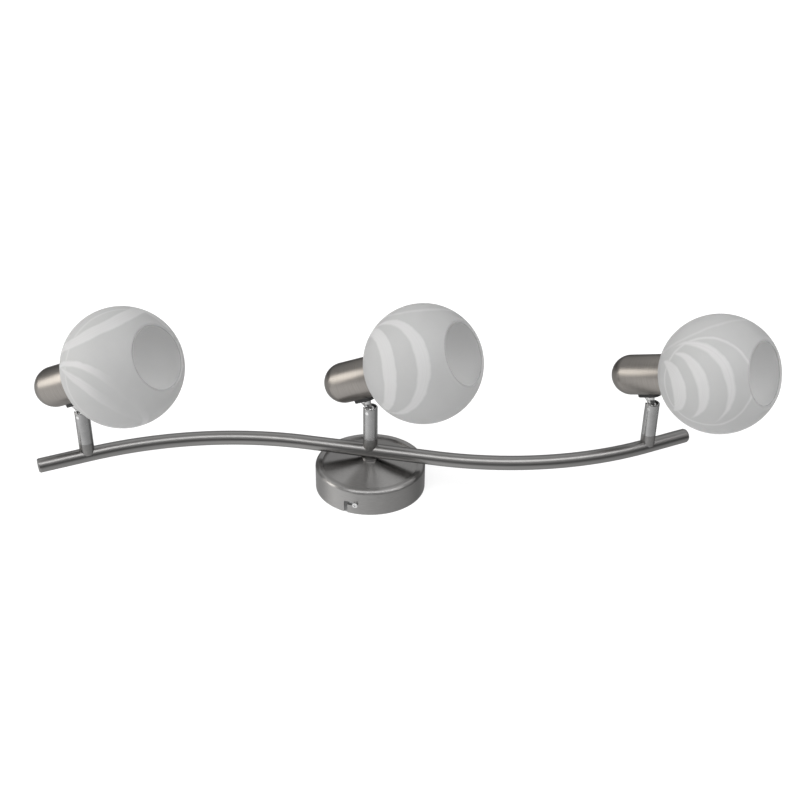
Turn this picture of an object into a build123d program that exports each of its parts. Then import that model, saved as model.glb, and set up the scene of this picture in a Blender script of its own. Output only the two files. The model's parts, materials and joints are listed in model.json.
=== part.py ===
from build123d import *
import os
from math import acos, asin, atan2, cos, degrees, radians, sin, sqrt

os.makedirs("parts", exist_ok=True)

# A spotlight bar for a wall or ceiling. A round canopy hides the mounting bracket and carries an
# S-bent tube, and three lamp heads stand on the tube. Each head turns about its stem and tilts on a
# knuckle in the stem's slotted top. The origin is the middle of the canopy's back plane, +Z points
# away from the wall, and the three stems stand on the X axis.

# Fits
running_clearance = 0.05
seat_clearance = 0.02
swing_clearance = 0.3
bearing_gap = 0.1

# Canopy and its bracket
canopy_diameter = 100.0
canopy_height = 24.3
canopy_wall = 1.0
canopy_rim_round = 3.5
canopy_ledge_width = 3.0
canopy_ledge_depth = 2.0
canopy_boss_diameter = 16.0
catch_angle = -107.0
catch_slot_run = 9.2
catch_screw_height = 10.0
catch_screw_diameter = 3.0
catch_head_diameter = 4.8
catch_head_height = 1.8
recess_length = 3.4
recess_width = 0.8
recess_depth = 0.9
bracket_thickness = 1.5
bracket_width = 20.0
bracket_ear_width = 12.0
bracket_ear_height = 15.0
bracket_ear_gap = 1.0
wall_hole_diameter = 5.0
wall_hole_circle = 60.0
wire_hole_diameter = 12.0

# Terminal block and earth screw on the bracket
block_end = 1.0
block_corner = 1.0
block_width = 11.0
block_height = 12.0
block_offset = 16.0
pole_count = 3
pole_spacing = 8.0
pole_wire_diameter = 3.4
pole_wire_height = 4.0
pole_screw_diameter = 3.0
pole_screw_length = 4.0
pole_screw_sink = 2.0
earth_offset = -16.0
earth_screw_diameter = 4.0
earth_head_diameter = 7.0
earth_head_height = 2.4
earth_head_round = 0.8

# S-bent bar and what joins it to the canopy
bar_diameter = 13.0
bar_wall = 1.2
bar_gap = 5.4
bar_middle_length = 120.0
bar_bend_angle = 38.2
bar_overhang = 42.2
stem_past_bend = 2.0
stem_spacing = 253.3
end_plug_depth = 8.0
end_plug_cap = 1.4
end_plug_taper = 20.0
saddle_thickness = 1.2
nipple_diameter = 8.0
nipple_bore = 5.2
nipple_rise = 1.5
nut_width = 13.0
nut_height = 4.0
washer_margin = 0.5
washer_thickness = 1.0
thread_tail = 2.0
loom_diameter = 4.4

# Stems and their pivots
stem_diameter = 13.0
stem_wall = 1.25
collar_rise = 7.2
collar_ear_rise = 2.2
stem_height = 27.7
shoulder_thickness = 3.0
shoulder_land = 1.25
pivot_wall = 1.5
friction_washer_thickness = 0.8
ring_thickness = 0.8
ring_groove_depth = 0.6
ring_gap = 3.0
socket_rise = 4.3
socket_rim_round = 0.8
pin_diameter = 3.0
pin_reach = 3.0
pad_depth = 5.5
spring_wire = 1.5

# Lamp heads, in their own frame: tilt axis along Y through the origin, lamp axis level above it
neck_length = 10.7
neck_diameter = 7.0
neck_flare = 3.4
flange_diameter = 9.6
flange_thickness = 0.8
stud_diameter = 7.0
stud_bore = 4.0
cup_diameter = 36.2
cup_wall = 0.8
cup_back = 32.0
cup_front = 26.0
cup_pad_length = 22.0
cup_pad_width = 10.0
cup_pad_thickness = 2.2
strip_thickness = 1.0
strip_width = 10.0
strip_tail = 7.0
strip_leg_rise = 5.0
stud_nut_width = 11.0
stud_nut_height = 3.0
holder_skirt_diameter = 28.0
holder_body_diameter = 26.0
holder_body_length = 9.5
holder_stub_diameter = 4.0
holder_stub_length = 2.5
holder_gap = 1.0
holder_floor = 5.5
holder_reach = 9.0
shade_diameter = 102.4
shade_wall = 2.5
shade_neck_overlap = 0.2
shade_lip_clearance = 0.4
shade_mouth_diameter = 57.0
shade_mouth_round = 1.0
shade_ring_wall = 2.8
shade_ring_height = 4.0
shade_ring_notches = 12
shade_ring_notch = 2.0
sleeve_bore = 14.6
sleeve_wall = 0.6
sleeve_gap = 4.0
contact_length = 6.0
contact_width = 3.0
contact_thickness = 0.5
contact_rise = 2.2

# How each head stands in the rest pose: name, place along X, turn about its stem, lift of its lamp
lamp_heads = (
    ("left", -stem_spacing, -29.6, 26.5),
    ("centre", 0.0, -31.4, 27.1),
    ("right", stem_spacing, -43.9, 20.7),
)

# Values worked out from the driving dimensions
canopy_radius = canopy_diameter / 2
bar_radius = bar_diameter / 2
bar_bore_radius = bar_radius - bar_wall
bar_underside = canopy_height + bar_gap
bar_axis_height = bar_underside + bar_radius
boss_height = bar_underside - saddle_thickness
nipple_radius = nipple_diameter / 2
stem_radius = stem_diameter / 2
stem_bore_radius = stem_radius - stem_wall
pivot_radius = stem_bore_radius - shoulder_land
collar_top = bar_axis_height + bar_radius + collar_rise
stem_bottom = collar_top + bearing_gap
tilt_axis_height = stem_bottom + stem_height
shoulder_top = stem_bottom + shoulder_thickness
friction_washer_bottom = shoulder_top + running_clearance
ring_bottom = friction_washer_bottom + friction_washer_thickness
ring_top = ring_bottom + ring_thickness
pivot_top = ring_top + ring_thickness
ball_radius = stem_bore_radius - swing_clearance
neck_radius = neck_diameter / 2
slot_half_width = neck_radius + swing_clearance
slot_depth = slot_half_width + seat_clearance
pad_bottom = tilt_axis_height - ball_radius - pad_depth
cup_radius = cup_diameter / 2
cup_bore_radius = cup_radius - cup_wall
lamp_offset = neck_length + cup_pad_thickness + cup_radius
shade_radius = shade_diameter / 2
shade_inner_radius = shade_radius - shade_wall
shade_neck_radius = cup_radius + shade_neck_overlap
shade_centre = cup_front + sqrt(shade_radius**2 - shade_neck_radius**2)
holder_back = stud_nut_width / 2 + strip_thickness + holder_gap
holder_front = cup_front + holder_reach
floor_front = holder_back + holder_floor
sleeve_radius = sleeve_bore / 2 + sleeve_wall
sleeve_back = floor_front + sleeve_gap

# The bar's centre line: a straight middle, two equal bends and straight ends. The bends have the
# radius that brings the outer stems to their spacing, and the middle is turned so that they fall on
# the X axis.
bend_sine = sin(radians(bar_bend_angle))
bend_cosine = cos(radians(bar_bend_angle))
middle_half = bar_middle_length / 2
run_share = bend_sine * (middle_half + stem_past_bend)
straight_ahead = middle_half + stem_past_bend * bend_cosine
straight_side = stem_past_bend * bend_sine
bend_share = 2 * (1 - bend_cosine)
reach_left = stem_spacing**2 - straight_ahead**2 - straight_side**2
bar_bend_radius = (sqrt(run_share**2 + bend_share * reach_left) - run_share) / bend_share
stem_ahead = straight_ahead + bar_bend_radius * bend_sine
stem_side = straight_side + bar_bend_radius * (1 - bend_cosine)
middle_heading = -degrees(atan2(stem_side, stem_ahead))
end_heading = middle_heading + bar_bend_angle
end_run = stem_past_bend + bar_overhang
end_x = stem_spacing + bar_overhang * cos(radians(end_heading))
end_y = bar_overhang * sin(radians(end_heading))
bar_plane = Plane.XY.offset(bar_axis_height)

with BuildLine(bar_plane) as bar_line:
    first_run = PolarLine((-end_x, -end_y), end_run, end_heading)
    first_bend = JernArc(first_run @ 1, first_run % 1, bar_bend_radius, -bar_bend_angle)
    middle_run = PolarLine(first_bend @ 1, bar_middle_length, middle_heading)
    second_bend = JernArc(middle_run @ 1, middle_run % 1, bar_bend_radius, bar_bend_angle)
    PolarLine(second_bend @ 1, end_run, end_heading)
bar_path = bar_line.wires()[0]
bar_start = Plane(origin=bar_path @ 0, z_dir=bar_path % 0)
bar_ends = (
    Plane(origin=bar_path @ 0, z_dir=-(bar_path % 0)),
    Plane(origin=bar_path @ 1, z_dir=bar_path % 1),
)
stem_places = [(place, 0) for name, place, turn, lift in lamp_heads]

# The space the bar fills, with a little room, used to cope what seats on it
with BuildPart() as bar_space:
    with BuildSketch(bar_start):
        Circle(bar_radius + seat_clearance)
    sweep(path=bar_path)


def catch_plane(turned, out):
    """A plane that faces outwards at one of the two canopy catches, at the height of its screw."""
    angle = radians(catch_angle + turned)
    facing = (cos(angle), sin(angle), 0)
    return Plane(
        origin=(out * cos(angle), out * sin(angle), catch_screw_height),
        x_dir=(-sin(angle), cos(angle), 0),
        z_dir=facing,
    )


catch_sides = (0, 180)
strap_plane = Plane.XY.rotated((0, 0, catch_angle))
ear_reach = canopy_radius - canopy_wall - bracket_ear_gap

# Mounting bracket: a steel strap flat on the wall, with an ear turned up at each end
with BuildPart() as mounting_bracket:
    with BuildSketch(strap_plane):
        Rectangle(2 * ear_reach, bracket_ear_width)
        Rectangle(2 * (ear_reach - bracket_ear_width / 2), bracket_width)
        Circle(wire_hole_diameter / 2, mode=Mode.SUBTRACT)
        with PolarLocations(wall_hole_circle / 2, 2):
            Circle(wall_hole_diameter / 2, mode=Mode.SUBTRACT)
        with Locations((earth_offset, 0)):
            Circle(earth_screw_diameter / 2 + seat_clearance, mode=Mode.SUBTRACT)
    extrude(amount=bracket_thickness)
    with BuildSketch(strap_plane):
        with PolarLocations(ear_reach - bracket_thickness / 2, 2):
            Rectangle(bracket_thickness, bracket_ear_width)
    extrude(amount=bracket_ear_height)
    for turned in catch_sides:
        with BuildSketch(catch_plane(turned, ear_reach)):
            Circle(catch_screw_diameter / 2 + seat_clearance)
        extrude(amount=-2 * bracket_thickness, mode=Mode.SUBTRACT)
mounting_bracket.part.label = "mounting_bracket"
export_step(mounting_bracket.part, "parts/mounting_bracket.step")

# Canopy: a spun cup with a rounded rim, a sunk ring inside the rim and a cone up to the bar
rim_radius = canopy_radius - canopy_rim_round
ledge_radius = rim_radius - canopy_ledge_width
boss_radius = canopy_boss_diameter / 2
with BuildPart() as canopy:
    with BuildSketch(Plane.XZ):
        with BuildLine():
            wall = Line((canopy_radius, 0), (canopy_radius, canopy_height - canopy_rim_round))
            rim = RadiusArc(wall @ 1, (rim_radius, canopy_height), -canopy_rim_round)
            top = Polyline(
                rim @ 1,
                (ledge_radius, canopy_height),
                (ledge_radius, canopy_height - canopy_ledge_depth),
                (boss_radius, boss_height),
                (0, boss_height),
                (0, boss_height - canopy_wall),
                (boss_radius, boss_height - canopy_wall),
                (ledge_radius, canopy_height - canopy_ledge_depth - canopy_wall),
                (rim_radius, canopy_height - canopy_wall),
            )
            inner_rim = RadiusArc(
                top @ 1,
                (canopy_radius - canopy_wall, canopy_height - canopy_rim_round),
                canopy_rim_round - canopy_wall,
            )
            inner_wall = Line(inner_rim @ 1, (canopy_radius - canopy_wall, 0))
            Line(inner_wall @ 1, wall @ 0)
        make_face()
    revolve(axis=Axis.Z)
    with BuildSketch(Plane.XY.offset(boss_height)):
        Circle(nipple_radius + seat_clearance)
    extrude(amount=-2 * canopy_wall, mode=Mode.SUBTRACT)
    # Two bayonet slots let the cup hook over the side screws with a twist
    catch_slot_width = catch_screw_diameter + swing_clearance
    for turned in catch_sides:
        with BuildSketch(catch_plane(turned, canopy_radius)):
            with Locations((-catch_slot_run / 2, 0)):
                SlotCenterToCenter(catch_slot_run, catch_slot_width)
            with Locations((-catch_slot_run, 0)):
                Rectangle(
                    catch_slot_width,
                    catch_screw_height + canopy_wall,
                    align=(Align.CENTER, Align.MAX),
                )
        extrude(amount=-4 * canopy_wall, mode=Mode.SUBTRACT)
canopy.part.label = "canopy"
export_step(canopy.part, "parts/canopy.step")

# Side screws that hold the canopy to the bracket's ears
screw_length = canopy_wall + bracket_ear_gap + 2 * bracket_thickness
with BuildPart() as canopy_screws:
    for turned in catch_sides:
        with BuildSketch(catch_plane(turned, canopy_radius + bearing_gap)):
            Circle(catch_screw_diameter / 2)
        extrude(amount=-screw_length)
        with BuildSketch(catch_plane(turned, canopy_radius + bearing_gap)):
            Circle(catch_head_diameter / 2)
        extrude(amount=catch_head_height)
        with BuildSketch(catch_plane(turned, canopy_radius + bearing_gap + catch_head_height)):
            Rectangle(recess_length, recess_width)
            Rectangle(recess_width, recess_length)
        extrude(amount=-recess_depth, mode=Mode.SUBTRACT)
canopy_screws.part.label = "canopy_screws"
export_step(canopy_screws.part, "parts/canopy_screws.step")

# Terminal block for the building's wires
block_length = pole_count * pole_spacing + 2 * block_end
block_top = Plane(
    origin=strap_plane.from_local_coords((block_offset, 0, bracket_thickness + block_height)),
    x_dir=strap_plane.x_dir,
    z_dir=(0, 0, 1),
)
pole_side = Plane(
    origin=strap_plane.from_local_coords((block_offset, 0, bracket_thickness + pole_wire_height)),
    x_dir=strap_plane.y_dir,
    z_dir=strap_plane.x_dir,
)
with BuildPart() as terminal_block:
    with BuildSketch(block_top):
        RectangleRounded(block_width, block_length, block_corner)
    extrude(amount=-block_height)
    with BuildSketch(pole_side):
        with GridLocations(pole_spacing, pole_spacing, pole_count, 1):
            Circle(pole_wire_diameter / 2)
    extrude(amount=block_width, both=True, mode=Mode.SUBTRACT)
    with BuildSketch(block_top):
        with GridLocations(pole_spacing, pole_spacing, 1, pole_count):
            Circle(pole_screw_diameter / 2 + seat_clearance)
    extrude(amount=pole_wire_height - block_height, mode=Mode.SUBTRACT)
terminal_block.part.label = "terminal_block"
export_step(terminal_block.part, "parts/terminal_block.step")

with BuildPart() as terminal_screws:
    with BuildSketch(block_top.offset(-pole_screw_sink)):
        with GridLocations(pole_spacing, pole_spacing, 1, pole_count):
            Circle(pole_screw_diameter / 2)
    extrude(amount=-pole_screw_length)
terminal_screws.part.label = "terminal_screws"
export_step(terminal_screws.part, "parts/terminal_screws.step")

earth_plane = Plane(
    origin=strap_plane.from_local_coords((earth_offset, 0, bracket_thickness)), z_dir=(0, 0, 1)
)
with BuildPart() as earth_screw:
    with BuildSketch(earth_plane):
        Circle(earth_head_diameter / 2)
    extrude(amount=earth_head_height)
    fillet(earth_screw.edges().group_by(Axis.Z)[-1], earth_head_round)
    with BuildSketch(earth_plane):
        Circle(earth_screw_diameter / 2)
    extrude(amount=-bracket_thickness + bearing_gap)
earth_screw.part.label = "earth_screw"
export_step(earth_screw.part, "parts/earth_screw.step")

# S-bent bar tube, with a hole under each stem pivot and one for the canopy's nipple
with BuildPart() as bar_tube:
    with BuildSketch(bar_start):
        Circle(bar_radius)
        Circle(bar_bore_radius, mode=Mode.SUBTRACT)
    sweep(path=bar_path)
    with BuildSketch(bar_plane):
        with Locations(*stem_places):
            Circle(pivot_radius + seat_clearance)
    extrude(amount=bar_diameter, mode=Mode.SUBTRACT)
    with BuildSketch(bar_plane):
        Circle(nipple_radius + seat_clearance)
    extrude(amount=-bar_diameter, mode=Mode.SUBTRACT)
bar_tube.part.label = "bar_tube"
export_step(bar_tube.part, "parts/bar_tube.step")

with BuildPart() as end_plugs:
    for plane in bar_ends:
        with BuildSketch(plane):
            Circle(bar_bore_radius - seat_clearance)
        extrude(amount=-end_plug_depth)
        with BuildSketch(plane):
            Circle(bar_radius)
        extrude(amount=end_plug_cap, taper=end_plug_taper)
end_plugs.part.label = "end_plugs"
export_step(end_plugs.part, "parts/end_plugs.step")

# Coped saddle, hollow nipple, washer and nut that clamp the bar on the canopy
with BuildPart() as bar_saddle:
    with BuildSketch(Plane.XY.offset(boss_height)):
        Circle(boss_radius)
        Circle(nipple_radius + seat_clearance, mode=Mode.SUBTRACT)
    extrude(amount=saddle_thickness + bar_wall)
    add(bar_space.part, mode=Mode.SUBTRACT)
bar_saddle.part.label = "bar_saddle"
export_step(bar_saddle.part, "parts/bar_saddle.step")

washer_top = boss_height - canopy_wall
nut_top = washer_top - washer_thickness
nipple_bottom = nut_top - nut_height - thread_tail
nipple_top = bar_axis_height - bar_bore_radius + nipple_rise
with BuildPart() as bar_nipple:
    with BuildSketch(Plane.XY.offset(nipple_bottom)):
        Circle(nipple_radius)
        Circle(nipple_bore / 2, mode=Mode.SUBTRACT)
    extrude(amount=nipple_top - nipple_bottom)
bar_nipple.part.label = "bar_nipple"
export_step(bar_nipple.part, "parts/bar_nipple.step")

with BuildPart() as nipple_washer:
    with BuildSketch(Plane.XY.offset(washer_top)):
        Circle(boss_radius - washer_margin)
        Circle(nipple_radius + seat_clearance, mode=Mode.SUBTRACT)
    extrude(amount=-washer_thickness)
nipple_washer.part.label = "nipple_washer"
export_step(nipple_washer.part, "parts/nipple_washer.step")

with BuildPart() as nipple_nut:
    with BuildSketch(Plane.XY.offset(nut_top)):
        RegularPolygon(nut_width / 2, 6, major_radius=False)
        Circle(nipple_radius + seat_clearance, mode=Mode.SUBTRACT)
    extrude(amount=-nut_height)
nipple_nut.part.label = "nipple_nut"
export_step(nipple_nut.part, "parts/nipple_nut.step")

# Wires bundled in one sleeve along the bar's bore, from the first stem to the last
loom_heading = radians(end_heading)
loom_end_x = stem_spacing - stem_past_bend * cos(loom_heading)
loom_end_y = -stem_past_bend * sin(loom_heading)
with BuildPart() as wiring_loom:
    with BuildLine(bar_plane) as loom_line:
        loom_bend = JernArc(
            (-loom_end_x, -loom_end_y),
            (cos(loom_heading), sin(loom_heading)),
            bar_bend_radius,
            -bar_bend_angle,
        )
        loom_middle = PolarLine(loom_bend @ 1, bar_middle_length, middle_heading)
        JernArc(loom_middle @ 1, loom_middle % 1, bar_bend_radius, bar_bend_angle)
    loom_path = loom_line.wires()[0]
    with BuildSketch(Plane(origin=loom_path @ 0, z_dir=loom_path % 0)):
        Circle(loom_diameter / 2)
    sweep(path=loom_path)
wiring_loom.part.label = "wiring_loom"
export_step(wiring_loom.part, "parts/wiring_loom.step")

# Collars coped to the bar, one under each stem
with BuildPart() as stem_collars:
    with BuildSketch(bar_plane.offset(collar_ear_rise)):
        with Locations(*stem_places):
            Circle(stem_radius)
            Circle(pivot_radius + seat_clearance, mode=Mode.SUBTRACT)
    extrude(amount=collar_top - bar_axis_height - collar_ear_rise)
    add(bar_space.part, mode=Mode.SUBTRACT)
stem_collars.part.label = "stem_collars"
export_step(stem_collars.part, "parts/stem_collars.step")

# Hollow pivots that the stems turn on, each with a groove for its retaining ring
pivot_bottom = bar_axis_height + sqrt(bar_bore_radius**2 - pivot_radius**2)
groove_radius = pivot_radius - ring_groove_depth
with BuildPart() as stem_pivots:
    with BuildSketch(Plane.XY.offset(pivot_bottom)):
        with Locations(*stem_places):
            Circle(pivot_radius)
            Circle(pivot_radius - pivot_wall, mode=Mode.SUBTRACT)
    extrude(amount=pivot_top - pivot_bottom)
    with BuildSketch(Plane.XY.offset(ring_bottom)):
        with Locations(*stem_places):
            Circle(pivot_radius + seat_clearance)
            Circle(groove_radius, mode=Mode.SUBTRACT)
    extrude(amount=ring_thickness, mode=Mode.SUBTRACT)
stem_pivots.part.label = "stem_pivots"
export_step(stem_pivots.part, "parts/stem_pivots.step")

with BuildPart() as friction_washers:
    with BuildSketch(Plane.XY.offset(friction_washer_bottom)):
        with Locations(*stem_places):
            Circle(stem_bore_radius - swing_clearance)
            Circle(pivot_radius + seat_clearance, mode=Mode.SUBTRACT)
    extrude(amount=friction_washer_thickness)
friction_washers.part.label = "friction_washers"
export_step(friction_washers.part, "parts/friction_washers.step")

with BuildPart() as retaining_rings:
    with BuildSketch(Plane.XY.offset(ring_bottom)):
        with Locations(*stem_places):
            Circle(stem_bore_radius - swing_clearance)
            Circle(groove_radius + seat_clearance, mode=Mode.SUBTRACT)
            Rectangle(stem_diameter, ring_gap, align=(Align.MIN, Align.CENTER), mode=Mode.SUBTRACT)
    extrude(amount=ring_thickness)
retaining_rings.part.label = "retaining_rings"
export_step(retaining_rings.part, "parts/retaining_rings.step")

# Stem: a tube with a bearing shoulder below and a socket for the ball above, slotted at the back
# where the neck leans as the lamp is lifted
socket_top = tilt_axis_height + socket_rise
shoulder_hole = pivot_radius + running_clearance
with BuildPart() as stem:
    with BuildSketch(Plane.XZ):
        with BuildLine():
            outside = Polyline(
                (shoulder_hole, stem_bottom),
                (stem_radius, stem_bottom),
                (stem_radius, socket_top - socket_rim_round),
            )
            rim_end = (stem_radius - socket_rim_round, socket_top)
            rim = RadiusArc(outside @ 1, rim_end, -socket_rim_round)
            Polyline(
                rim @ 1,
                (stem_bore_radius, socket_top),
                (stem_bore_radius, shoulder_top),
                (shoulder_hole, shoulder_top),
                outside @ 0,
            )
        make_face()
    revolve(axis=Axis.Z)
    with BuildSketch(Plane.XY.offset(tilt_axis_height - slot_depth)):
        Rectangle(stem_diameter, 2 * slot_half_width, align=(Align.MAX, Align.CENTER))
    extrude(amount=slot_depth + 2 * socket_rise, mode=Mode.SUBTRACT)
    with BuildSketch(Plane.XZ):
        with Locations((0, tilt_axis_height)):
            Circle(pin_diameter / 2 + seat_clearance)
    extrude(amount=stem_diameter, both=True, mode=Mode.SUBTRACT)

# Two short pins through the socket's sides, on which the knuckle tilts
with BuildPart() as tilt_pins:
    for side in (-1, 1):
        with BuildSketch(Plane.XZ.offset(side * pin_reach)):
            with Locations((0, tilt_axis_height)):
                Circle(pin_diameter / 2)
        extrude(amount=side * (stem_radius - pin_reach - bearing_gap))

# Brake pad and the spring that presses it up against the ball
with BuildPart() as brake_pad:
    with BuildSketch(Plane.XY.offset(pad_bottom)):
        Circle(stem_bore_radius - bearing_gap)
        Circle(stud_bore / 2, mode=Mode.SUBTRACT)
    extrude(amount=tilt_axis_height - slot_depth - pad_bottom)
    with Locations((0, 0, tilt_axis_height)):
        Sphere(ball_radius + swing_clearance, mode=Mode.SUBTRACT)

spring_radius = stem_bore_radius - swing_clearance
with BuildPart() as brake_spring:
    with BuildSketch(Plane.XY.offset(pivot_top + swing_clearance)):
        Circle(spring_radius)
        Circle(spring_radius - spring_wire, mode=Mode.SUBTRACT)
    extrude(amount=pad_bottom - pivot_top - swing_clearance)

# Knuckle: ball, neck and threaded stud in one turned piece, hollow for the wires
bore_radius = stud_bore / 2
stud_radius = stud_diameter / 2
flange_radius = flange_diameter / 2
flange_bottom = neck_length - flange_thickness
strip_bottom = lamp_offset - sqrt(cup_bore_radius**2 - (strip_width / 2) ** 2) + seat_clearance
strip_top = strip_bottom + strip_thickness
stud_nut_top = strip_top + stud_nut_height
stud_top = stud_nut_top + strip_thickness
with BuildPart() as knuckle:
    with BuildSketch(Plane.XZ):
        with BuildLine():
            under = (bore_radius, -sqrt(ball_radius**2 - bore_radius**2))
            over = (neck_radius, sqrt(ball_radius**2 - neck_radius**2))
            ball = ThreePointArc(under, (ball_radius, 0), over)
            Polyline(
                ball @ 1,
                (neck_radius, flange_bottom - neck_flare),
                (flange_radius, flange_bottom),
                (flange_radius, neck_length),
                (stud_radius, neck_length),
                (stud_radius, stud_top),
                (bore_radius, stud_top),
                ball @ 0,
            )
        make_face()
    revolve(axis=Axis.Z)
    for side in (-1, 1):
        with BuildSketch(Plane.XZ.offset(side * (pin_reach - bearing_gap))):
            Circle(pin_diameter / 2 + running_clearance)
        extrude(amount=side * ball_radius, mode=Mode.SUBTRACT)

# Pieces turned about the lamp axis are drawn on this plane: along the axis, and out from it
lamp_plane = Plane(origin=(0, 0, lamp_offset), x_dir=(1, 0, 0), z_dir=(0, -1, 0))
lamp_axis = Axis((0, 0, lamp_offset), (1, 0, 0))

# Pad coped to the cup, between it and the knuckle's flange
with BuildPart() as cup_pad:
    with BuildSketch(Plane.XY.offset(neck_length)):
        SlotOverall(cup_pad_length, cup_pad_width)
        Circle(stud_radius + seat_clearance, mode=Mode.SUBTRACT)
    extrude(amount=cup_pad_thickness + cup_pad_width / 2)
    with BuildSketch(Plane.YZ):
        with Locations((0, lamp_offset)):
            Circle(cup_radius + seat_clearance)
    extrude(amount=cup_pad_length, both=True, mode=Mode.SUBTRACT)

# Lamp cup: a drawn shell with a round closed end
dome_centre = -cup_back + cup_radius
with BuildPart() as lamp_cup:
    with BuildSketch(lamp_plane):
        with BuildLine():
            dome = CenterArc((dome_centre, 0), cup_radius, 90, 90)
            Polyline(
                dome @ 0,
                (cup_front, cup_radius),
                (cup_front, cup_bore_radius),
                (dome_centre, cup_bore_radius),
            )
            inner_dome = CenterArc((dome_centre, 0), cup_bore_radius, 90, 90)
            Line(dome @ 1, inner_dome @ 1)
        make_face()
    revolve(axis=lamp_axis)
    with BuildSketch(Plane.XY):
        Circle(stud_radius + seat_clearance)
    extrude(amount=lamp_offset, mode=Mode.SUBTRACT)

# Strip bracket in the cup, clamped by the stud's nut, with a leg behind the lampholder
leg_back = holder_back - strip_thickness
with BuildPart() as holder_bracket:
    with BuildSketch(Plane.XY.offset(strip_bottom)):
        with Locations((-strip_tail, 0)):
            Rectangle(strip_tail + holder_back, strip_width, align=(Align.MIN, Align.CENTER))
        Circle(stud_radius + seat_clearance, mode=Mode.SUBTRACT)
    extrude(amount=strip_thickness)
    with BuildSketch(Plane.YZ.offset(leg_back)):
        with Locations((0, strip_bottom)):
            Rectangle(
                strip_width,
                lamp_offset + strip_leg_rise - strip_bottom,
                align=(Align.CENTER, Align.MIN),
            )
        with Locations((0, lamp_offset)):
            Circle(holder_stub_diameter / 2 + seat_clearance, mode=Mode.SUBTRACT)
    extrude(amount=strip_thickness)

with BuildPart() as stud_nut:
    with BuildSketch(Plane.XY.offset(strip_top)):
        RegularPolygon(stud_nut_width / 2, 6, major_radius=False, rotation=30)
        Circle(stud_radius + seat_clearance, mode=Mode.SUBTRACT)
    extrude(amount=stud_nut_height)

# Lampholder with a threaded skirt, and a stub that snaps into the strip's leg
skirt_radius = holder_skirt_diameter / 2
body_radius = holder_body_diameter / 2
stub_radius = holder_stub_diameter / 2
body_front = holder_back + holder_body_length
with BuildPart() as lampholder:
    with BuildSketch(lamp_plane):
        with BuildLine():
            Polyline(
                (holder_back - holder_stub_length, 0),
                (holder_back - holder_stub_length, stub_radius),
                (holder_back, stub_radius),
                (holder_back, body_radius),
                (body_front, body_radius),
                (body_front, skirt_radius),
                (holder_front, skirt_radius),
                (holder_front, sleeve_radius + seat_clearance),
                (floor_front, sleeve_radius + seat_clearance),
                (floor_front, 0),
                close=True,
            )
        make_face()
    revolve(axis=lamp_axis)

# Glass shade: a blown globe with a flat lip at the cup and an open mouth
mouth_angle = degrees(asin(shade_mouth_diameter / shade_diameter))
neck_angle = 180 - degrees(asin(shade_neck_radius / shade_radius))
lip_front = cup_front + shade_wall
lip_radius = skirt_radius + shade_lip_clearance
inner_angle = degrees(acos((lip_front - shade_centre) / shade_inner_radius))
with BuildPart() as glass_shade:
    with BuildSketch(lamp_plane):
        with BuildLine():
            globe = CenterArc((shade_centre, 0), shade_radius, mouth_angle, neck_angle - mouth_angle)
            hollow = CenterArc(
                (shade_centre, 0), shade_inner_radius, mouth_angle, inner_angle - mouth_angle
            )
            Polyline(
                globe @ 1,
                (cup_front, lip_radius),
                (lip_front, lip_radius),
                hollow @ 1,
            )
            Line(hollow @ 0, globe @ 0)
        make_face()
    revolve(axis=lamp_axis)
    mouth_edges = glass_shade.edges().filter_by(GeomType.CIRCLE).sort_by(Axis.X)[-2:]
    fillet(mouth_edges, shade_mouth_round)

# Notched ring that screws on the skirt and clamps the shade's lip to the cup
shade_ring_radius = skirt_radius + shade_ring_wall
with BuildPart() as shade_ring:
    with BuildSketch(Plane.YZ.offset(lip_front)):
        with Locations((0, lamp_offset)):
            Circle(shade_ring_radius)
            Circle(skirt_radius + seat_clearance, mode=Mode.SUBTRACT)
            with PolarLocations(shade_ring_radius, shade_ring_notches):
                Circle(shade_ring_notch / 2, mode=Mode.SUBTRACT)
    extrude(amount=shade_ring_height)

# Brass thread sleeve that takes the lamp's screw base
with BuildPart() as thread_sleeve:
    with BuildSketch(Plane.YZ.offset(sleeve_back)):
        with Locations((0, lamp_offset)):
            Circle(sleeve_radius)
            Circle(sleeve_bore / 2, mode=Mode.SUBTRACT)
    extrude(amount=holder_front - sleeve_back)

# Sprung contact tab on the holder's floor, bent up towards the lamp's tip
with BuildPart() as tip_contact:
    with BuildSketch(lamp_plane):
        with BuildLine():
            tab = Polyline(
                (floor_front, -contact_length / 2),
                (floor_front + contact_rise, 0),
                (floor_front, contact_length / 2),
            )
            Polyline(
                tab @ 1,
                (floor_front + contact_thickness, contact_length / 2),
                (floor_front + contact_rise + contact_thickness, 0),
                (floor_front + contact_thickness, -contact_length / 2),
                tab @ 0,
            )
        make_face()
    extrude(amount=contact_width / 2, both=True)

# Each head gets its own copy of the stem's pieces, turned about the stem, and of the lamp's pieces,
# which are lifted about the tilt axis as well
stem_pieces = {
    "stem": stem,
    "tilt_pins": tilt_pins,
    "brake_pad": brake_pad,
    "brake_spring": brake_spring,
}
lamp_pieces = {
    "knuckle": knuckle,
    "cup_pad": cup_pad,
    "lamp_cup": lamp_cup,
    "holder_bracket": holder_bracket,
    "stud_nut": stud_nut,
    "lampholder": lampholder,
    "glass_shade": glass_shade,
    "shade_ring": shade_ring,
    "thread_sleeve": thread_sleeve,
    "tip_contact": tip_contact,
}
for side, place, turn, lift in lamp_heads:
    stem_pose = Location((place, 0, 0), (0, 0, turn))
    lamp_pose = stem_pose * Location((0, 0, tilt_axis_height), (0, -lift, 0))
    for pieces, pose in ((stem_pieces, stem_pose), (lamp_pieces, lamp_pose)):
        for name, builder in pieces.items():
            placed = builder.part.moved(pose)
            placed.label = f"{side}_{name}"
            export_step(placed, f"parts/{side}_{name}.step")
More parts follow.
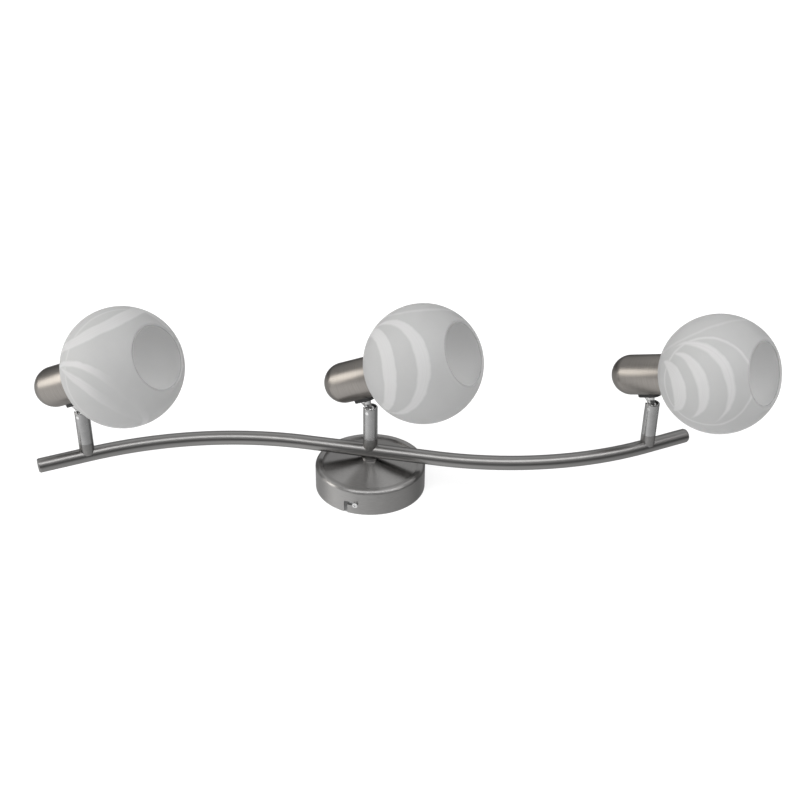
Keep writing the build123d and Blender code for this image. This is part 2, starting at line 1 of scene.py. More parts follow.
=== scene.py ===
# %% [markdown]
# # A spotlight bar with three alabaster globes
# A round canopy of brushed nickel carries an S-bent tube, and three lamp heads stand on the tube. The
# solid model gives every piece its place and size. This lesson loads it as a fixed frame, puts the
# photograph's camera in front of it, and then gives each surface the finish of the real thing.

# %% Load the frame
import json
from math import asin, cos, degrees, pi, radians, sin, sqrt, tau

import bmesh
import bpy
import numpy as np
from mathutils import Matrix, Vector


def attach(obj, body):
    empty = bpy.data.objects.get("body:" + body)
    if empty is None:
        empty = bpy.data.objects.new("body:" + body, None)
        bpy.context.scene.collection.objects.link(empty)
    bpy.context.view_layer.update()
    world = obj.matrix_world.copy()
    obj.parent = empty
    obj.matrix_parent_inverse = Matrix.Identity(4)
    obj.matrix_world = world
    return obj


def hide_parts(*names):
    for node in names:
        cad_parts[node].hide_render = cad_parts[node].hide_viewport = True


MM = 0.001
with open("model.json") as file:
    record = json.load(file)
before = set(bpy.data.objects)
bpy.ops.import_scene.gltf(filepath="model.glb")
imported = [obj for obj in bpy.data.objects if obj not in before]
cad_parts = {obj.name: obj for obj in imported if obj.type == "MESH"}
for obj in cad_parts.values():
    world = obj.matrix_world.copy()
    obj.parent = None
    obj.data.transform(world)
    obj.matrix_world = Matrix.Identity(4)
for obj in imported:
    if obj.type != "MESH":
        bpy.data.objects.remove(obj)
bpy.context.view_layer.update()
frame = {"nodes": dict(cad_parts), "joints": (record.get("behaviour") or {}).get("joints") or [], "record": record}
nodes = frame["nodes"]
joints = {joint["name"]: joint for joint in frame["joints"]}
mounts = {mount["name"]: mount for mount in frame["record"]["mounts"]}
SIDES = ("left", "centre", "right")
print("pieces in the frame:", len(nodes))

# %% [markdown]
# ## Camera
# The photograph looks down on the bar from the front, a little from the left, and its horizon is not
# quite level. The place, angles and lens were worked out from the outlines of the canopy, the stems and
# the globes. Turning the camera by three plain angles keeps each of them readable: tip it up from
# straight down, turn it about the vertical, and roll it about its own line of sight.

# %% Camera at the photograph's angle
camera_place = Vector((-25.9, -923.3, 621.7)) * MM
camera_pitch = radians(29.98)
camera_heading = radians(3.23)
camera_roll = radians(0.84)
camera_lens = 54.24


def put(name, made):
    """An object in the scene, at the origin, from a mesh, a lamp or a camera."""
    thing = bpy.data.objects.new(name, made)
    bpy.context.scene.collection.objects.link(thing)
    return thing


camera_data = bpy.data.cameras.new("photo_camera")
camera_data.lens = camera_lens
camera = put("photo_camera", camera_data)
turn = Matrix.Rotation(-camera_heading, 4, "Z")
tip = Matrix.Rotation(pi / 2 - camera_pitch, 4, "X")
roll = Matrix.Rotation(camera_roll, 4, "Z")
camera.matrix_world = Matrix.Translation(camera_place) @ turn @ tip @ roll
bpy.context.scene.camera = camera
print("camera", [round(x, 3) for x in camera.location])

# %% [markdown]
# ## Writing finishes as sums
# A finish is a small calculation at every point of a surface. Blender keeps it as a web of nodes, which
# is slow to read. The class below wraps one socket, so that `1 - mask * 0.5` adds the two nodes it
# needs, and one method makes every other kind of node.


# %% A value that changes over a surface
class Value:
    """One output socket of a material, with arithmetic that adds the nodes it needs."""

    def __init__(self, tree, socket):
        self.tree = tree
        self.socket = socket

    def node(self, kind, settings=None, inputs=None, output=0):
        """Make a node, set its settings, then its sockets, and give back one of its outputs."""
        made = self.tree.nodes.new("ShaderNode" + kind)
        for key, setting in (settings or {}).items():
            setattr(made, key, setting)
        for key, given in (inputs or {}).items():
            if isinstance(given, Value):
                self.tree.links.new(given.socket, made.inputs[key])
            else:
                made.inputs[key].default_value = given
        return Value(self.tree, made.outputs[output])

    def math(self, operation, *others):
        """A sum or function of this value, and of others where it takes more than one."""
        return self.node("Math", {"operation": operation}, dict(enumerate((self, *others))))

    def __add__(self, other):
        return self.math("ADD", other)

    def __radd__(self, other):
        return self.math("ADD", other)

    def __sub__(self, other):
        return self.math("SUBTRACT", other)

    def __rsub__(self, other):
        return self.node("Math", {"operation": "SUBTRACT"}, {0: other, 1: self})

    def __mul__(self, other):
        return self.math("MULTIPLY", other)

    def __rmul__(self, other):
        return self.math("MULTIPLY", other)

    def __truediv__(self, other):
        return self.math("DIVIDE", other)

    def between(self, low, high):
        """A smooth step: 0 below `low`, 1 above `high`."""
        settings = {"interpolation_type": "SMOOTHSTEP"}
        return self.node("MapRange", settings, {"Value": self, "From Min": low, "From Max": high})

    def dot(self, direction):
        """How far a place lies along a direction."""
        inputs = {0: self, 1: tuple(direction)}
        return self.node("VectorMath", {"operation": "DOT_PRODUCT"}, inputs, output=1)

    def parts(self):
        """The x, y and z of a place."""
        split = self.node("SeparateXYZ", {}, {0: self})
        return [Value(self.tree, split.socket.node.outputs[axis]) for axis in range(3)]

    def join(self, x, y, z):
        """A place made of three numbers."""
        return self.node("CombineXYZ", {}, {0: x, 1: y, 2: z})

    def noise(self, place, scale, detail=2.0, roughness=0.5):
        """Cloudy noise from 0 to 1 that repeats about `scale` times a metre."""
        inputs = {"Vector": place, "Scale": scale, "Detail": detail, "Roughness": roughness}
        return self.node("TexNoise", {}, inputs)

    def thread(self, at, scale):
        """Streaky noise from 0 to 1 that changes with one number only."""
        settings = {"noise_dimensions": "1D"}
        inputs = {"W": at, "Scale": scale, "Detail": 3.0, "Roughness": 0.6}
        return self.node("TexNoise", settings, inputs).between(0.25, 0.75)

    def blend(self, first, second):
        """A colour that goes from `first` to `second` as this value goes from 0 to 1."""
        return self.node("Mix", {"data_type": "RGBA"}, {0: self, 6: first, 7: second}, output=2)

    def bump(self, height):
        """A surface normal tipped by this value, which stands for a relief of `height` metres."""
        return self.node("Bump", {}, {"Strength": 1.0, "Distance": height, "Height": self})


# %% [markdown]
# Every finish then has the same frame: constants that are the same all over go straight on the shader's
# sockets, and a `paint` function gives back the few sockets that vary from place to place.


# %% One material from its constants and its paint
def grey(level, warmth=0.0):
    """A colour near grey, warmer when `warmth` is above 0."""
    return (level * (1 + warmth), level, level * (1 - warmth), 1.0)


def finish(name, paint, **constants):
    """A material whose shader has the constants given, and what `paint` returns for its sockets."""
    material = bpy.data.materials.new(name)
    material.use_nodes = True
    tree = material.node_tree
    shader = tree.nodes["Principled BSDF"]
    for socket, constant in constants.items():
        shader.inputs[socket.replace("_", " ")].default_value = constant
    coordinates = tree.nodes.new("ShaderNodeTexCoord")
    place = Value(tree, coordinates.outputs["Object"])
    surface = Value(tree, coordinates.outputs["UV"])
    for socket, given in paint(place, surface).items():
        tree.links.new(given.socket, shader.inputs[socket])
    return material


# %% [markdown]
# ## Floor and wall
# The photograph was cut out on pure white, with no shadow. A light table gives that: a pale matt sheet
# that glows from below, so that shadows on it are washed out. It hardly glows under the canopy, where
# little light would get in. A white wall all round closes the horizon. It is only there for the camera, so
# it sends no light on the object. Both are stage pieces, not part of the object.

# %% Light table and white wall
floor_half = 14.0
floor_drop = 0.2 * MM
floor_grey = 0.30
floor_glow = 0.78
under_canopy = 0.12
canopy_radius = 50.0
shade_edge = 2.0
wall_radius = 12.6
wall_sides = 64
wall_glow = 1.1


def grid_mesh(name, places, material):
    """A mesh from a grid of places in metres, with its faces.

    Each face joins four neighbours: two next to each other in a row, and the two in the next row.
    """
    rows, columns = places.shape[:2]
    numbers = np.arange(rows * columns).reshape(rows, columns)
    corners = [numbers[:-1, :-1], numbers[1:, :-1], numbers[1:, 1:], numbers[:-1, 1:]]
    faces = np.stack(corners, -1).reshape(-1, 4)
    mesh = bpy.data.meshes.new(name)
    mesh.from_pydata(places.reshape(-1, 3), [], faces)
    mesh.materials.append(material)
    return mesh, faces


def stage_piece(name, places, material):
    """A surface from a grid of places, which is part of the stage and not of the object."""
    piece = put(name, grid_mesh(name, places, material)[0])
    return piece


def pale_paint(place, surface):
    """A matt pale sheet with a trace of mottling, nearly unlit where the canopy stands on it."""
    cloud = place.noise(place, 3.0, 2.0)
    x, y = place.parts()[:2]
    radius = (x * x + y * y).math("SQRT")
    clear = radius.between((canopy_radius - shade_edge) * MM, canopy_radius * MM)
    return {
        "Base Color": cloud.between(0.3, 0.7).blend(grey(floor_grey), grey(floor_grey + 0.02)),
        "Emission Color": clear.blend(grey(under_canopy), grey(1.0)),
    }


# The floor is x and y from one edge to the other, at one height
edges = np.array([-floor_half, floor_half])
floor_x, floor_y = np.meshgrid(edges, edges, indexing="ij")
floor_places = np.stack([floor_x, floor_y, 0 * floor_x - floor_drop], -1)
pale_floor = finish("pale_floor", pale_paint, Roughness=0.9, Emission_Strength=floor_glow)
floor = stage_piece("floor", floor_places, pale_floor)
floor.visible_glossy = False

# The wall is a circle: the cosine and sine of the angle, at the floor and high above it
wall_angle = np.linspace(0, tau, wall_sides + 1)
circle = np.stack([np.cos(wall_angle), np.sin(wall_angle), 0 * wall_angle], -1) * wall_radius
wall_places = np.stack([circle, circle + np.array([0, 0, floor_half])])
pale_wall = finish("pale_wall", pale_paint, Roughness=0.9, Emission_Strength=wall_glow)
wall = stage_piece("white_wall", wall_places, pale_wall)
for rays in ("diffuse", "glossy", "transmission", "shadow"):
    setattr(wall, "visible_" + rays, False)
print("stage pieces:", floor.name, wall.name)

# %% [markdown]
# ## Light
# Metal has no colour of its own to show: it shows the room. Working back from the photograph's tones,
# the bar mirrors one long light above and in front, the cups mirror a warm window low on the left, and
# everything that faces down mirrors a table that is brightest on the left. The globes are lit softly
# from the front. So there are two lamps that the metal mirrors, one soft fill that it doesn't, and a
# room that is dim at the sides.


# %% Lamps
def soft_box(name, place, aim, width, height, power):
    """A rectangular lamp at `place` that faces `aim`, in metres and watts."""
    lamp = bpy.data.lights.new(name, "AREA")
    lamp.shape = "RECTANGLE"
    lamp.size = width
    lamp.size_y = height
    lamp.energy = power
    light = put(name, lamp)
    light.location = place
    light.rotation_euler = (Vector(aim) - Vector(place)).to_track_quat("-Z", "Y").to_euler()
    return light


def soft_sky(name, comes_from, spread, strength):
    """Soft light from a direction, as from a round patch of sky `spread` degrees across."""
    lamp = bpy.data.lights.new(name, "SUN")
    lamp.angle = radians(spread)
    lamp.energy = strength
    light = put(name, lamp)
    light.rotation_euler = (-Vector(comes_from)).to_track_quat("-Z", "Y").to_euler()
    return light


soft_box(
    "front_top", place=(0.12, -0.68, 1.2), aim=(0.0, 0.0, 0.04), width=2.5, height=0.46, power=10.0,
)
window = soft_box(
    "left_window", place=(-2.65, -0.05, 0.75), aim=(0.0, 0.0, 0.12), width=1.42, height=1.45, power=20.0,
)
window.data.color = (1.0, 0.97, 0.92)
fill = soft_sky("fill", comes_from=(-0.62, -0.68, 0.9), spread=90.0, strength=1.9)
fill.visible_glossy = False
bpy.context.scene.view_settings.view_transform = "Standard"

# %% [markdown]
# The room itself is a calculation on the direction of sight, in the same way as a finish. It is lighter
# above, lightest above and behind the bar, and below it is the table's light, which falls off to the
# right and to the back.

# %% Room that the metal mirrors
room_sides = 0.08
room_top = 0.40
room_back = 0.50
world = bpy.data.worlds.new("studio")
world.use_nodes = True
bpy.context.scene.world = world
room = world.node_tree
look = Value(room, room.nodes.new("ShaderNodeTexCoord").outputs["Generated"])
aside, ahead, height = look.parts()
above = height.between(0.05, 0.45)
behind = ahead.between(0.2, 0.5) * height.between(0.62, 0.80)
leftwards = (-1 * aside).between(0.4, 0.95)
below = (0.3 * leftwards - height).between(0.05, 0.55)
lower = (0.75 - 0.35 * aside) * (0.45 + 0.55 * (-1 * ahead).between(-0.5, 0.3))
glow = room_sides + above * (room_top + room_back * behind) + below * lower
room.links.new(glow.socket, room.nodes["Background"].inputs["Color"])
print("room nodes:", len(room.nodes))

# %% [markdown]
# ## Satin nickel
# The canopy was spun and then brushed on the lathe, so its marks are circles about the middle, and the
# light gathers in rays. Anisotropy, turned a quarter, gives the rays, and a fine noise of radius and
# height gives the marks. A picture of scratches would stretch where the metal curves, so the marks are
# worked out at each place. The bar was brushed along its length and the cups round theirs, which their
# UV maps follow. The small pieces were tumbled, so their marks have no direction.

# %% Brushed finishes
nickel_bright = 0.32
nickel_dark = 0.26


def brushed(place, marks, relief, warmth=0.015, lift=1.0):
    """Colour, roughness and relief of brushed metal, where `marks` runs fast across the brushing."""
    fine = place.noise(marks, 1.0, 3.0, 0.6)
    broad = place.noise(place, 14.0, 2.0)
    tone = fine.between(0.25, 0.75)
    return {
        "Base Color": tone.blend(grey(lift * nickel_dark, warmth), grey(lift * nickel_bright, warmth)),
        "Roughness": 0.24 + 0.10 * fine + 0.08 * broad,
        "Normal": fine.bump(relief * MM),
    }


def spun_nickel(place, surface):
    """Marks in circles about the canopy's axis, on a lighter copy of the same nickel: painted light."""
    x, y, z = place.parts()
    radius = (x * x + y * y).math("SQRT")
    sweep = y.math("ARCTAN2", x)
    # lift 1.3 makes the canopy a lighter copy of the bar's nickel: painted light, for the light the canopy catches
    return brushed(place, place.join(sweep * 6.0, (radius + z) * 2600.0, 0.0), 0.004, lift=1.3)


def plain_nickel(place, surface):
    """Tumbled small pieces, with no direction to their marks."""
    x, y, z = place.parts()
    return brushed(place, place.join(x * 700.0, y * 700.0, z * 700.0), 0.002)


def drawn_nickel(place, surface):
    """Marks along the tube."""
    around, along = surface.parts()[:2]
    return brushed(place, place.join(around * 2400.0, along * 14.0, 0.0), 0.002)


def cup_nickel(place, surface):
    """Marks round the cup, in a warmer batch of plating."""
    around, along = surface.parts()[:2]
    return brushed(place, place.join(around * 60.0, along * 2600.0, 0.0), 0.004, warmth=0.065)


spun = finish("spun_nickel", spun_nickel, Metallic=1.0, Anisotropic=0.8, Anisotropic_Rotation=0.25)
finishes = {
    "spun_nickel": spun,
    "plain_nickel": finish("plain_nickel", plain_nickel, Metallic=1.0),
    "drawn_nickel": finish("drawn_nickel", drawn_nickel, Metallic=1.0),
    "cup_nickel": finish("cup_nickel", cup_nickel, Metallic=1.0),
}
print("nickel finishes:", list(finishes))

# %% [markdown]
# ## Chrome
# The stems are plated over a satin ground, so they only mirror softly. The necks in them and the screw
# heads were polished first and sparkle. Real plating is never even: handling leaves a faint haze, which
# is a noise in the roughness.


# %% Satin and polished chrome
def satin_chrome(place, surface):
    """Plated over a satin ground, with faint handling haze."""
    haze = place.noise(place, 90.0, 4.0, 0.6)
    return {
        "Base Color": haze.between(0.3, 0.7).blend(grey(0.38), grey(0.45)),
        "Roughness": 0.20 + 0.12 * haze,
    }


def polished(place, surface):
    """Bright plating where the neck is wiped by every turn of the lamp."""
    haze = place.noise(place, 140.0, 3.0)
    return {
        "Base Color": haze.between(0.3, 0.7).blend(grey(0.66), grey(0.76)),
        "Roughness": 0.10 + 0.10 * haze,
    }


finishes["satin_chrome"] = finish("satin_chrome", satin_chrome, Metallic=1.0)
finishes["polished"] = finish("polished_chrome", polished, Metallic=1.0)
print("finishes so far:", len(finishes))

# %% [markdown]
# ## Hidden metals and plastics
# The bracket, nuts and springs are zinc plated steel, whose plating grows in cloudy grains. The contacts
# are brass. The lampholder is moulded in black phenolic, and the terminal block in white nylon. All of
# them have a fine grain rather than a picture, so one noise each is enough.


# %% Zinc, brass and moulded plastic
def zinc(place, surface):
    """Thin zinc plate with cloudy grains."""
    cloud = place.noise(place, 260.0, 4.0, 0.65)
    return {
        "Base Color": cloud.between(0.3, 0.7).blend(grey(0.42, -0.02), grey(0.55, -0.02)),
        "Roughness": 0.32 + 0.16 * cloud,
        "Normal": cloud.bump(0.01 * MM),
    }


def brass(place, surface):
    """Turned brass, slightly dull."""
    cloud = place.noise(place, 300.0, 3.0)
    return {
        "Base Color": cloud.between(0.3, 0.7).blend((0.50, 0.36, 0.13, 1), (0.66, 0.48, 0.19, 1)),
        "Roughness": 0.25 + 0.15 * cloud,
    }


def moulded(dark, light, relief):
    """The paint of a moulded plastic with a fine grain, between two colours."""

    def paint(place, surface):
        grain = place.noise(place, 900.0, 3.0)
        return {
            "Base Color": grain.between(0.3, 0.7).blend(dark, light),
            "Roughness": 0.42 + 0.16 * grain,
            "Normal": grain.bump(relief * MM),
        }

    return paint


finishes["zinc"] = finish("zinc_plate", zinc, Metallic=1.0)
finishes["brass"] = finish("turned_brass", brass, Metallic=1.0)
finishes["white_nylon"] = finish("white_nylon", moulded(grey(0.70, 0.02), grey(0.78, 0.02), 0.01))
finishes["black_phenolic"] = finish("black_phenolic", moulded(grey(0.010), grey(0.018), 0.01))
finishes["wire_sleeve"] = finish("wire_sleeve", moulded(grey(0.55, 0.03), grey(0.70, 0.03), 0.05))
print("finishes so far:", len(finishes))

# %% [markdown]
# The shapes of these pieces are right as they come from the solid model, so each only gets its finish.
# A piece of a lamp has its side in front of its name, so what follows the side is looked up as well.

# %% Dress the frame's pieces
worn_by = {
    "spun_nickel": ("canopy", "bar_saddle"),
    "plain_nickel": ("stem_collars", "end_plugs"),
    "satin_chrome": ("stem",),
    "polished": ("canopy_screws", "knuckle", "tilt_pins"),
    "zinc": ("mounting_bracket", "earth_screw", "bar_nipple", "nipple_washer", "nipple_nut",
             "stem_pivots", "retaining_rings", "brake_spring", "holder_bracket", "stud_nut"),
    "brass": ("terminal_screws", "thread_sleeve", "tip_contact"),
    "white_nylon": ("terminal_block", "friction_washers", "brake_pad"),
    "black_phenolic": ("lampholder", "shade_ring", "cup_pad"),
    "wire_sleeve": ("wiring_loom",),
}
for worn, kinds in worn_by.items():
    names = [name for name in nodes if name in kinds or name.partition("_")[2] in kinds]
    for name in names:
        nodes[name].material_slots[0].material = finishes[worn]
    print(worn, "on", len(names), "pieces")

# %% [markdown]
# ## Surfaces from two parameters
# The cups, the globes and the bar are made anew here, because brush marks and streaks need a surface
# with its own even grid. All of them are turned, blown or bent from tube, so one idea makes them: carry
# an outline round an axis, or along a path. The places of a whole surface are one numpy array, and its
# faces come from shifted copies of the array of point numbers. The two parameters, in metres along the
# surface, are kept as its UV map.


# %% Grids and turned pieces
def weld(mesh):
    """Join the seams and poles of a grid, drop faces without area and point the rest outwards."""
    work = bmesh.new()
    work.from_mesh(mesh)
    bmesh.ops.remove_doubles(work, verts=work.verts, dist=0.002 * MM)
    bmesh.ops.recalc_face_normals(work, faces=work.faces)
    work.to_mesh(mesh)
    work.free()


def grid_piece(name, places, lengths, body, replaced, material, sharp=35.0):
    """A surface on a grid: `places` has rows along the outline, and columns round or along it.

    The rows and columns both join up end to end where their first and last places are the same.
    """
    mesh, faces = grid_mesh(name, places, material)
    along, around = np.broadcast_arrays(lengths[0][:, None], lengths[1][None, :])
    flat = np.stack([around, along], -1).reshape(-1, 2)[faces.ravel()]
    mesh.uv_layers.new(name="surface").data.foreach_set("uv", flat.astype(np.float32).ravel())
    weld(mesh)
    mesh.shade_smooth()
    mesh.set_sharp_from_angle(angle=radians(sharp))
    piece = put(name, mesh)
    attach(piece, body)
    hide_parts(*replaced)
    print(name, len(mesh.polygons), "faces")
    return piece


def run_lengths(points):
    """The length along a row of places, from its first place."""
    steps = np.linalg.norm(np.diff(points, axis=0), axis=1)
    return np.concatenate([[0.0], np.cumsum(steps)])


def turned_piece(name, profile, head, body, replaced, material, steps=128):
    """A profile of (along, out) places in millimetres, carried once round a lamp's axis.

    A place is the head's edge, plus `along` times the axis, plus `out` times a direction that goes
    once round the axis: the cosine of the angle times one side, and its sine times the other.
    """
    angle = np.linspace(0, tau, steps + 1)
    ring = np.cos(angle)[:, None] * np.array(head["across"])
    ring = ring + np.sin(angle)[:, None] * np.array(head["up"])
    along, out = profile.T[:, :, None, None] * MM
    places = np.array(head["edge"]) + along * np.array(head["along"]) + out * ring
    lengths = (run_lengths(profile * MM), angle * np.abs(profile[:, 1]).max() * MM)
    return grid_piece(name, places, lengths, body, replaced, material)


# %% [markdown]
# ## Lamp heads
# Each head has its own turn and lift. Its lamp axis and the middle of its cup's front edge are the lamp
# socket that the solid model states, so the cup and the globe are turned about that axis, measured from
# that edge.

# %% Axes of the three heads
heads = {}
for side in SIDES:
    socket = mounts[f"{side}_lamp_socket"]
    along = Vector(socket["axis"]).normalized()
    across = -Vector(joints[f"{side}_tilt"]["axis"]).normalized()
    heads[side] = {
        "edge": Vector(socket["pos_m"]),
        "along": along,
        "across": across,
        "up": along.cross(across),
    }
    print(side, [round(x, 3) for x in along])

# %% [markdown]
# ## Lamp cups
# A cup is deep drawn from thin sheet: a half ball at the back, a straight wall, and a rolled front edge.
# It could be a solid with a bore, but the light on the thin edge shows that it is a shell, so the outline
# runs down the outside, round the edge and back up the inside.


# %% Cups
def arc(centre, radius, start, end, steps):
    """Places on a circle from one angle to another, in degrees."""
    angle = np.radians(np.linspace(start, end, steps))
    return np.stack([centre[0] + radius * np.cos(angle), centre[1] + radius * np.sin(angle)], -1)


def outline(*stretches):
    """One outline out of points and arcs, each a list of (along, out) places in millimetres."""
    return np.concatenate([np.atleast_2d(stretch) for stretch in stretches]).astype(float)


cup_radius = 18.1
cup_wall = 0.8
cup_length = 58.0
edge_round = cup_wall / 2
dome_middle = (cup_radius - cup_length, 0.0)
cup_profile = outline(
    arc(dome_middle, cup_radius, 180, 90, 28),
    arc((-edge_round, cup_radius - edge_round), edge_round, 90, -90, 9),
    arc(dome_middle, cup_radius - cup_wall, 90, 180, 24),
)
for side, head in heads.items():
    turned_piece(
        f"{side}_cup_shell", cup_profile, head, f"{side}_head",
        [f"{side}_lamp_cup"], finishes["cup_nickel"],
    )

# %% [markdown]
# ## Alabaster globes
# The glass is blown, frosted in acid and streaked with pale threads that were drawn out as the globe was
# turned. On each globe an edge of a streak lies close to a circle, and its two edges have different
# middles, so a streak is a crescent: inside a wide circle and outside a narrower one. Each row below is
# one streak: its outer circle, its inner circle, its strength, and how far along the lamp axis it fades
# out, in globe radii. A circle is three angles in degrees: how far its middle leans from the lamp axis,
# how far that is turned round the axis, and how wide the circle opens. A picture of the streaks would be
# pinched at the ends of the ball, and angles are not. A slow noise bends the circles and breaks their
# edges, because no streak in real glass is even.

# %% Sizes and streaks of the three globes
globe_radius = 51.2
globe_wall = 2.5
neck_radius = 18.3
mouth_radius = 28.5
lip_radius = 14.4
globe_middle = sqrt(globe_radius**2 - neck_radius**2)
streaks = {
    "left": (
        ((96, 86, 50.5), (100, 85, 41), 0.8, None),
        ((105, -156, 56.5), (107, -156, 51.5), 0.9, (0.1, 0.65)),
        ((119, -146, 56.5), (132, -135, 62), 0.7, (0.0, 0.5)),
        ((35, -178, 76), (35, -178, 73.5), 0.5, None),
        ((102, 6, 44), (110, 7, 38), 0.9, None),
        ((87, 9, 58), (93, 7, 54), 0.7, None),
    ),
    "centre": (
        ((123, 157, 42), (130, 157, 34.5), 1.0, None),
        ((99, 159, 50), (107, 159, 46), 0.9, None),
        ((87, 63, 39.5), (87, 63, 35.5), 0.45, None),
        ((107, -12, 40), (117, -12, 33), 0.9, None),
        ((93, -13, 52), (99, -13, 48), 0.8, None),
    ),
    "right": (
        ((118, 173, 25), (135, 176, 26.5), 1.0, None),
        ((103, 172, 33), (115, 175, 34.5), 0.9, None),
        ((90, 171, 43.5), (98, 175, 44), 0.85, None),
        ((75, 170, 46.5), (75, 170, 44.5), 0.8, None),
        ((114, 70, 54), (114, 70, 51), 0.4, None),
        ((107, 6, 42), (117, 5, 38), 0.8, None),
    ),
}
print("streaks:", {side: len(rows) for side, rows in streaks.items()})

# %% [markdown]
# Frosted glass scatters light inside its wall, so part of the light that falls on the outside comes out
# on the inside, and the mouth looks nearly as bright as the rest. That light is painted: the inside is
# given a much lighter colour than the outside. The rim was melted smooth after the frosting, so it is
# clearer and darker than both. The frosting is plain inside: the streaks there would be seen through the
# wall only, so they stop at the rim.

# %% Finish of the glass
glass_base = grey(0.345)
glass_streak = grey(0.49)
glass_rim = grey(0.31)
# painted light: the inside is lighter than the outside, standing in for the light that comes through the wall
glass_inside_painted_light = grey(0.60)
streak_edge = radians(1.4)
slow_wander = radians(5.0)
cloud_wander = radians(3.5)
neck_turn = asin(neck_radius / globe_radius)
mouth_turn = asin(mouth_radius / globe_radius)
mouth_run = neck_radius - lip_radius + globe_radius * (pi - neck_turn - mouth_turn)
rim_run = mouth_run + pi * globe_wall / 2


def alabaster(head, rows):
    """The paint of frosted glass with a pale streak between each pair of circles in `rows`."""
    middle = head["edge"] + head["along"] * globe_middle * MM

    def paint(place, surface):
        slow = place.noise(place, 26.0, 2.0) - 0.5
        cloud = place.noise(place, 60.0, 4.0, 0.6) - 0.5
        fine = place.noise(place, 900.0, 3.0)
        wander = slow * slow_wander + cloud * cloud_wander

        def level(towards):
            return (place.dot(towards) - middle.dot(towards)) / (globe_radius * MM)

        def inside(lean, turned, opening):
            outward = cos(radians(turned)) * head["across"] + sin(radians(turned)) * head["up"]
            towards = cos(radians(lean)) * head["along"] + sin(radians(lean)) * outward
            polar = level(towards).math("MAXIMUM", -1.0).math("MINIMUM", 1.0).math("ARCCOSINE")
            return polar, (radians(opening) - polar + wander).between(-streak_edge, streak_edge)

        milk = 0.0
        for number, (outer, inner, strength, fades) in enumerate(rows):
            polar, within = inside(*outer)
            streak = within * (1 - inside(*inner)[1]) * strength
            streak = streak * (0.75 + 0.25 * place.thread(polar + number, 45.0))
            if fades:
                streak = streak * (1 - level(head["along"]).between(*fades))
            milk = streak.math("MAXIMUM", milk)
        milk = milk + 0.05 * (fine - 0.5) + 0.30 * cloud
        outside = milk.between(-0.35, 1.1).blend(glass_base, glass_streak)
        run = surface.parts()[1]
        on_rim = run.between((mouth_run - 1.0) * MM, (mouth_run + 0.6) * MM)
        past_rim = run.between((rim_run - 0.6) * MM, (rim_run + 2.0) * MM)
        outer_side = on_rim.blend(outside, glass_rim)
        return {
            # past the rim, the lighter inside colour: painted light that comes through the wall
            "Base Color": past_rim.blend(outer_side, glass_inside_painted_light),
            "Roughness": 0.55 + 0.08 * fine,
            "Normal": fine.bump(0.01 * MM),
        }

    return paint


print("rim from", round(mouth_run, 1), "to", round(rim_run, 1), "millimetres along the outline")

# %% [markdown]
# A globe's outline starts at the flat lip that is clamped to the cup. It runs along the outside to the
# mouth, round the fire-polished rim and back along the inside. In the photograph no globe shows in the
# next cup, so the metal does not mirror the globes.

# %% Globes
neck_angle = 180 - degrees(neck_turn)
mouth_angle = degrees(mouth_turn)
inner_radius = globe_radius - globe_wall
lip_angle = 180 - degrees(np.arccos((globe_middle - globe_wall) / inner_radius))
rim_middle = arc((globe_middle, 0), globe_radius - globe_wall / 2, mouth_angle, mouth_angle, 1)[0]
globe_profile = outline(
    (0.0, lip_radius),
    arc((globe_middle, 0), globe_radius, neck_angle, mouth_angle, 72),
    arc(rim_middle, globe_wall / 2, mouth_angle, mouth_angle - 180, 11)[1:-1],
    arc((globe_middle, 0), inner_radius, mouth_angle, lip_angle, 64),
    (globe_wall, lip_radius),
    (0.0, lip_radius),
)
for side, head in heads.items():
    glass = finish(
        f"{side}_alabaster", alabaster(head, streaks[side]),
        Subsurface_Weight=0.6, Subsurface_Scale=0.03, Subsurface_Radius=(1.0, 1.0, 1.0), IOR=1.5,
    )
    globe = turned_piece(
        f"{side}_globe", globe_profile, head, f"{side}_head",
        [f"{side}_glass_shade"], glass, steps=144,
    )
    globe.visible_glossy = False

# %% [markdown]
# ## Bar
# The bar is one tube bent in an S. Its line is five stretches that meet without a corner: straight ends,
# two equal bends and a straight middle. It could be drawn as arcs and lines, but a running sum is shorter:
# heading is the running sum of the bends, and place is the running sum of small steps along the heading.

# %% Line of the bar
tube_radius = 6.5
tube_wall = 1.2
tube_height = 36.2
stem_spacing = 253.3
overhang = 42.2
past_bend = 2.0
middle_length = 120.0
bend_angle = radians(38.2)


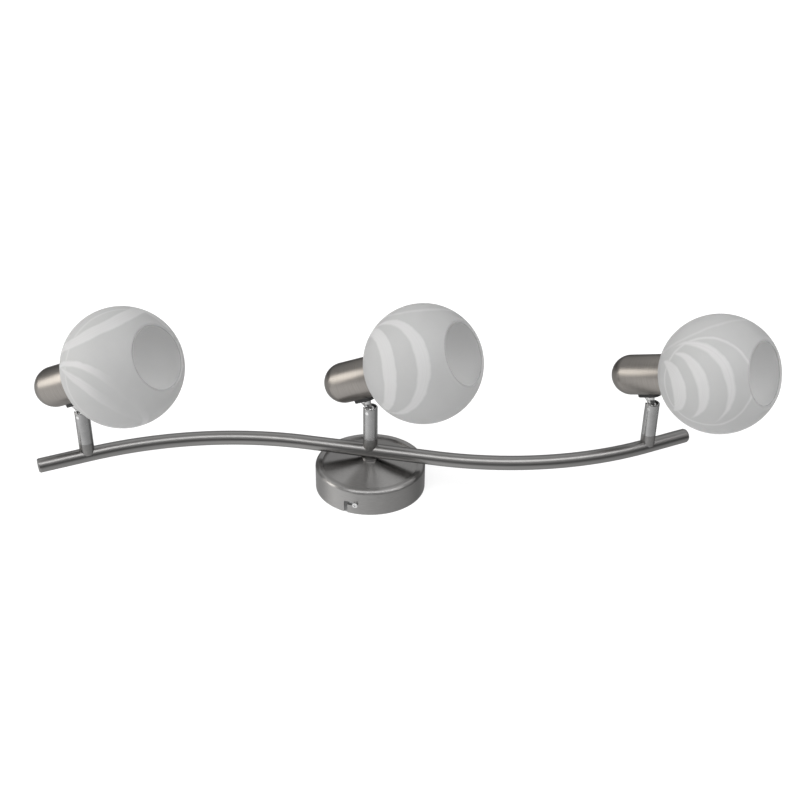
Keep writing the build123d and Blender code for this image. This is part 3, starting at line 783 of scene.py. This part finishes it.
def bar_path(step=1.0):
    """Places, headings and lengths along the bar, in millimetres, by adding up short steps.

    The bends' radius is the one that brings the outer stems to their spacing, and the middle is turned
    so that all three stems stand in one row.
    """
    half = middle_length / 2
    stem_along = half + past_bend * cos(bend_angle)
    stem_aside = past_bend * sin(bend_angle)
    share = 2 * (1 - cos(bend_angle))
    run = sin(bend_angle) * (half + past_bend)
    square = run**2 + share * (stem_spacing**2 - stem_along**2 - stem_aside**2)
    bend_radius = (sqrt(square) - run) / share
    stem_along += bend_radius * sin(bend_angle)
    stem_aside += bend_radius * (1 - cos(bend_angle))
    bend_end = half + bend_radius * bend_angle
    reach = bend_end + past_bend + overhang
    length = np.linspace(-reach, reach, int(2 * reach / step) + 1)
    turned = np.clip(np.abs(length) - half, 0, bend_end - half) / bend_radius
    heading = turned - np.arctan2(stem_aside, stem_along)
    halfway = (heading[1:] + heading[:-1]) / 2
    moves = np.stack([np.cos(halfway), np.sin(halfway)], -1) * np.diff(length)[:, None]
    places = np.concatenate([[[0.0, 0.0]], np.cumsum(moves, axis=0)])
    return places - (places[0] + places[-1]) / 2, heading, length + reach


bar_line, bar_heading, bar_length = bar_path()
print("bar length in millimetres:", round(bar_length[-1], 1))

# %% [markdown]
# A ring about each place of the line makes the tube's skin. The outside is carried forth and the bore
# back again, so the tube is a closed shell whose ends show its wall.

# %% Bent tube
tube_sides = 48
tube_angle = np.linspace(0, tau, tube_sides + 1)
sideways = np.stack([-np.sin(bar_heading), np.cos(bar_heading), 0 * bar_heading], -1)
middle = np.concatenate([bar_line, np.full((len(bar_line), 1), tube_height)], 1)


def tube_rings(radius, order):
    """Rings about the bar's line: cosine times sideways, plus sine times upwards, times the radius."""
    ring = np.cos(tube_angle)[None, :, None] * sideways[:, None, :]
    ring = ring + np.sin(tube_angle)[None, :, None] * np.array([0.0, 0.0, 1.0])
    return (middle[:, None, :] + radius * ring)[order]


forth = np.arange(len(bar_line))
order = [forth, forth[::-1], forth[:1]]
radii = [tube_radius, tube_radius - tube_wall, tube_radius]
tube_places = np.concatenate([tube_rings(radius, rows) for radius, rows in zip(radii, order)])
tube_lengths = bar_length[np.concatenate(order)]
grid_piece(
    "bar_shell", tube_places * MM, (tube_lengths * MM, tube_angle * tube_radius * MM), "fixture",
    ["bar_tube"], finishes["drawn_nickel"],
)
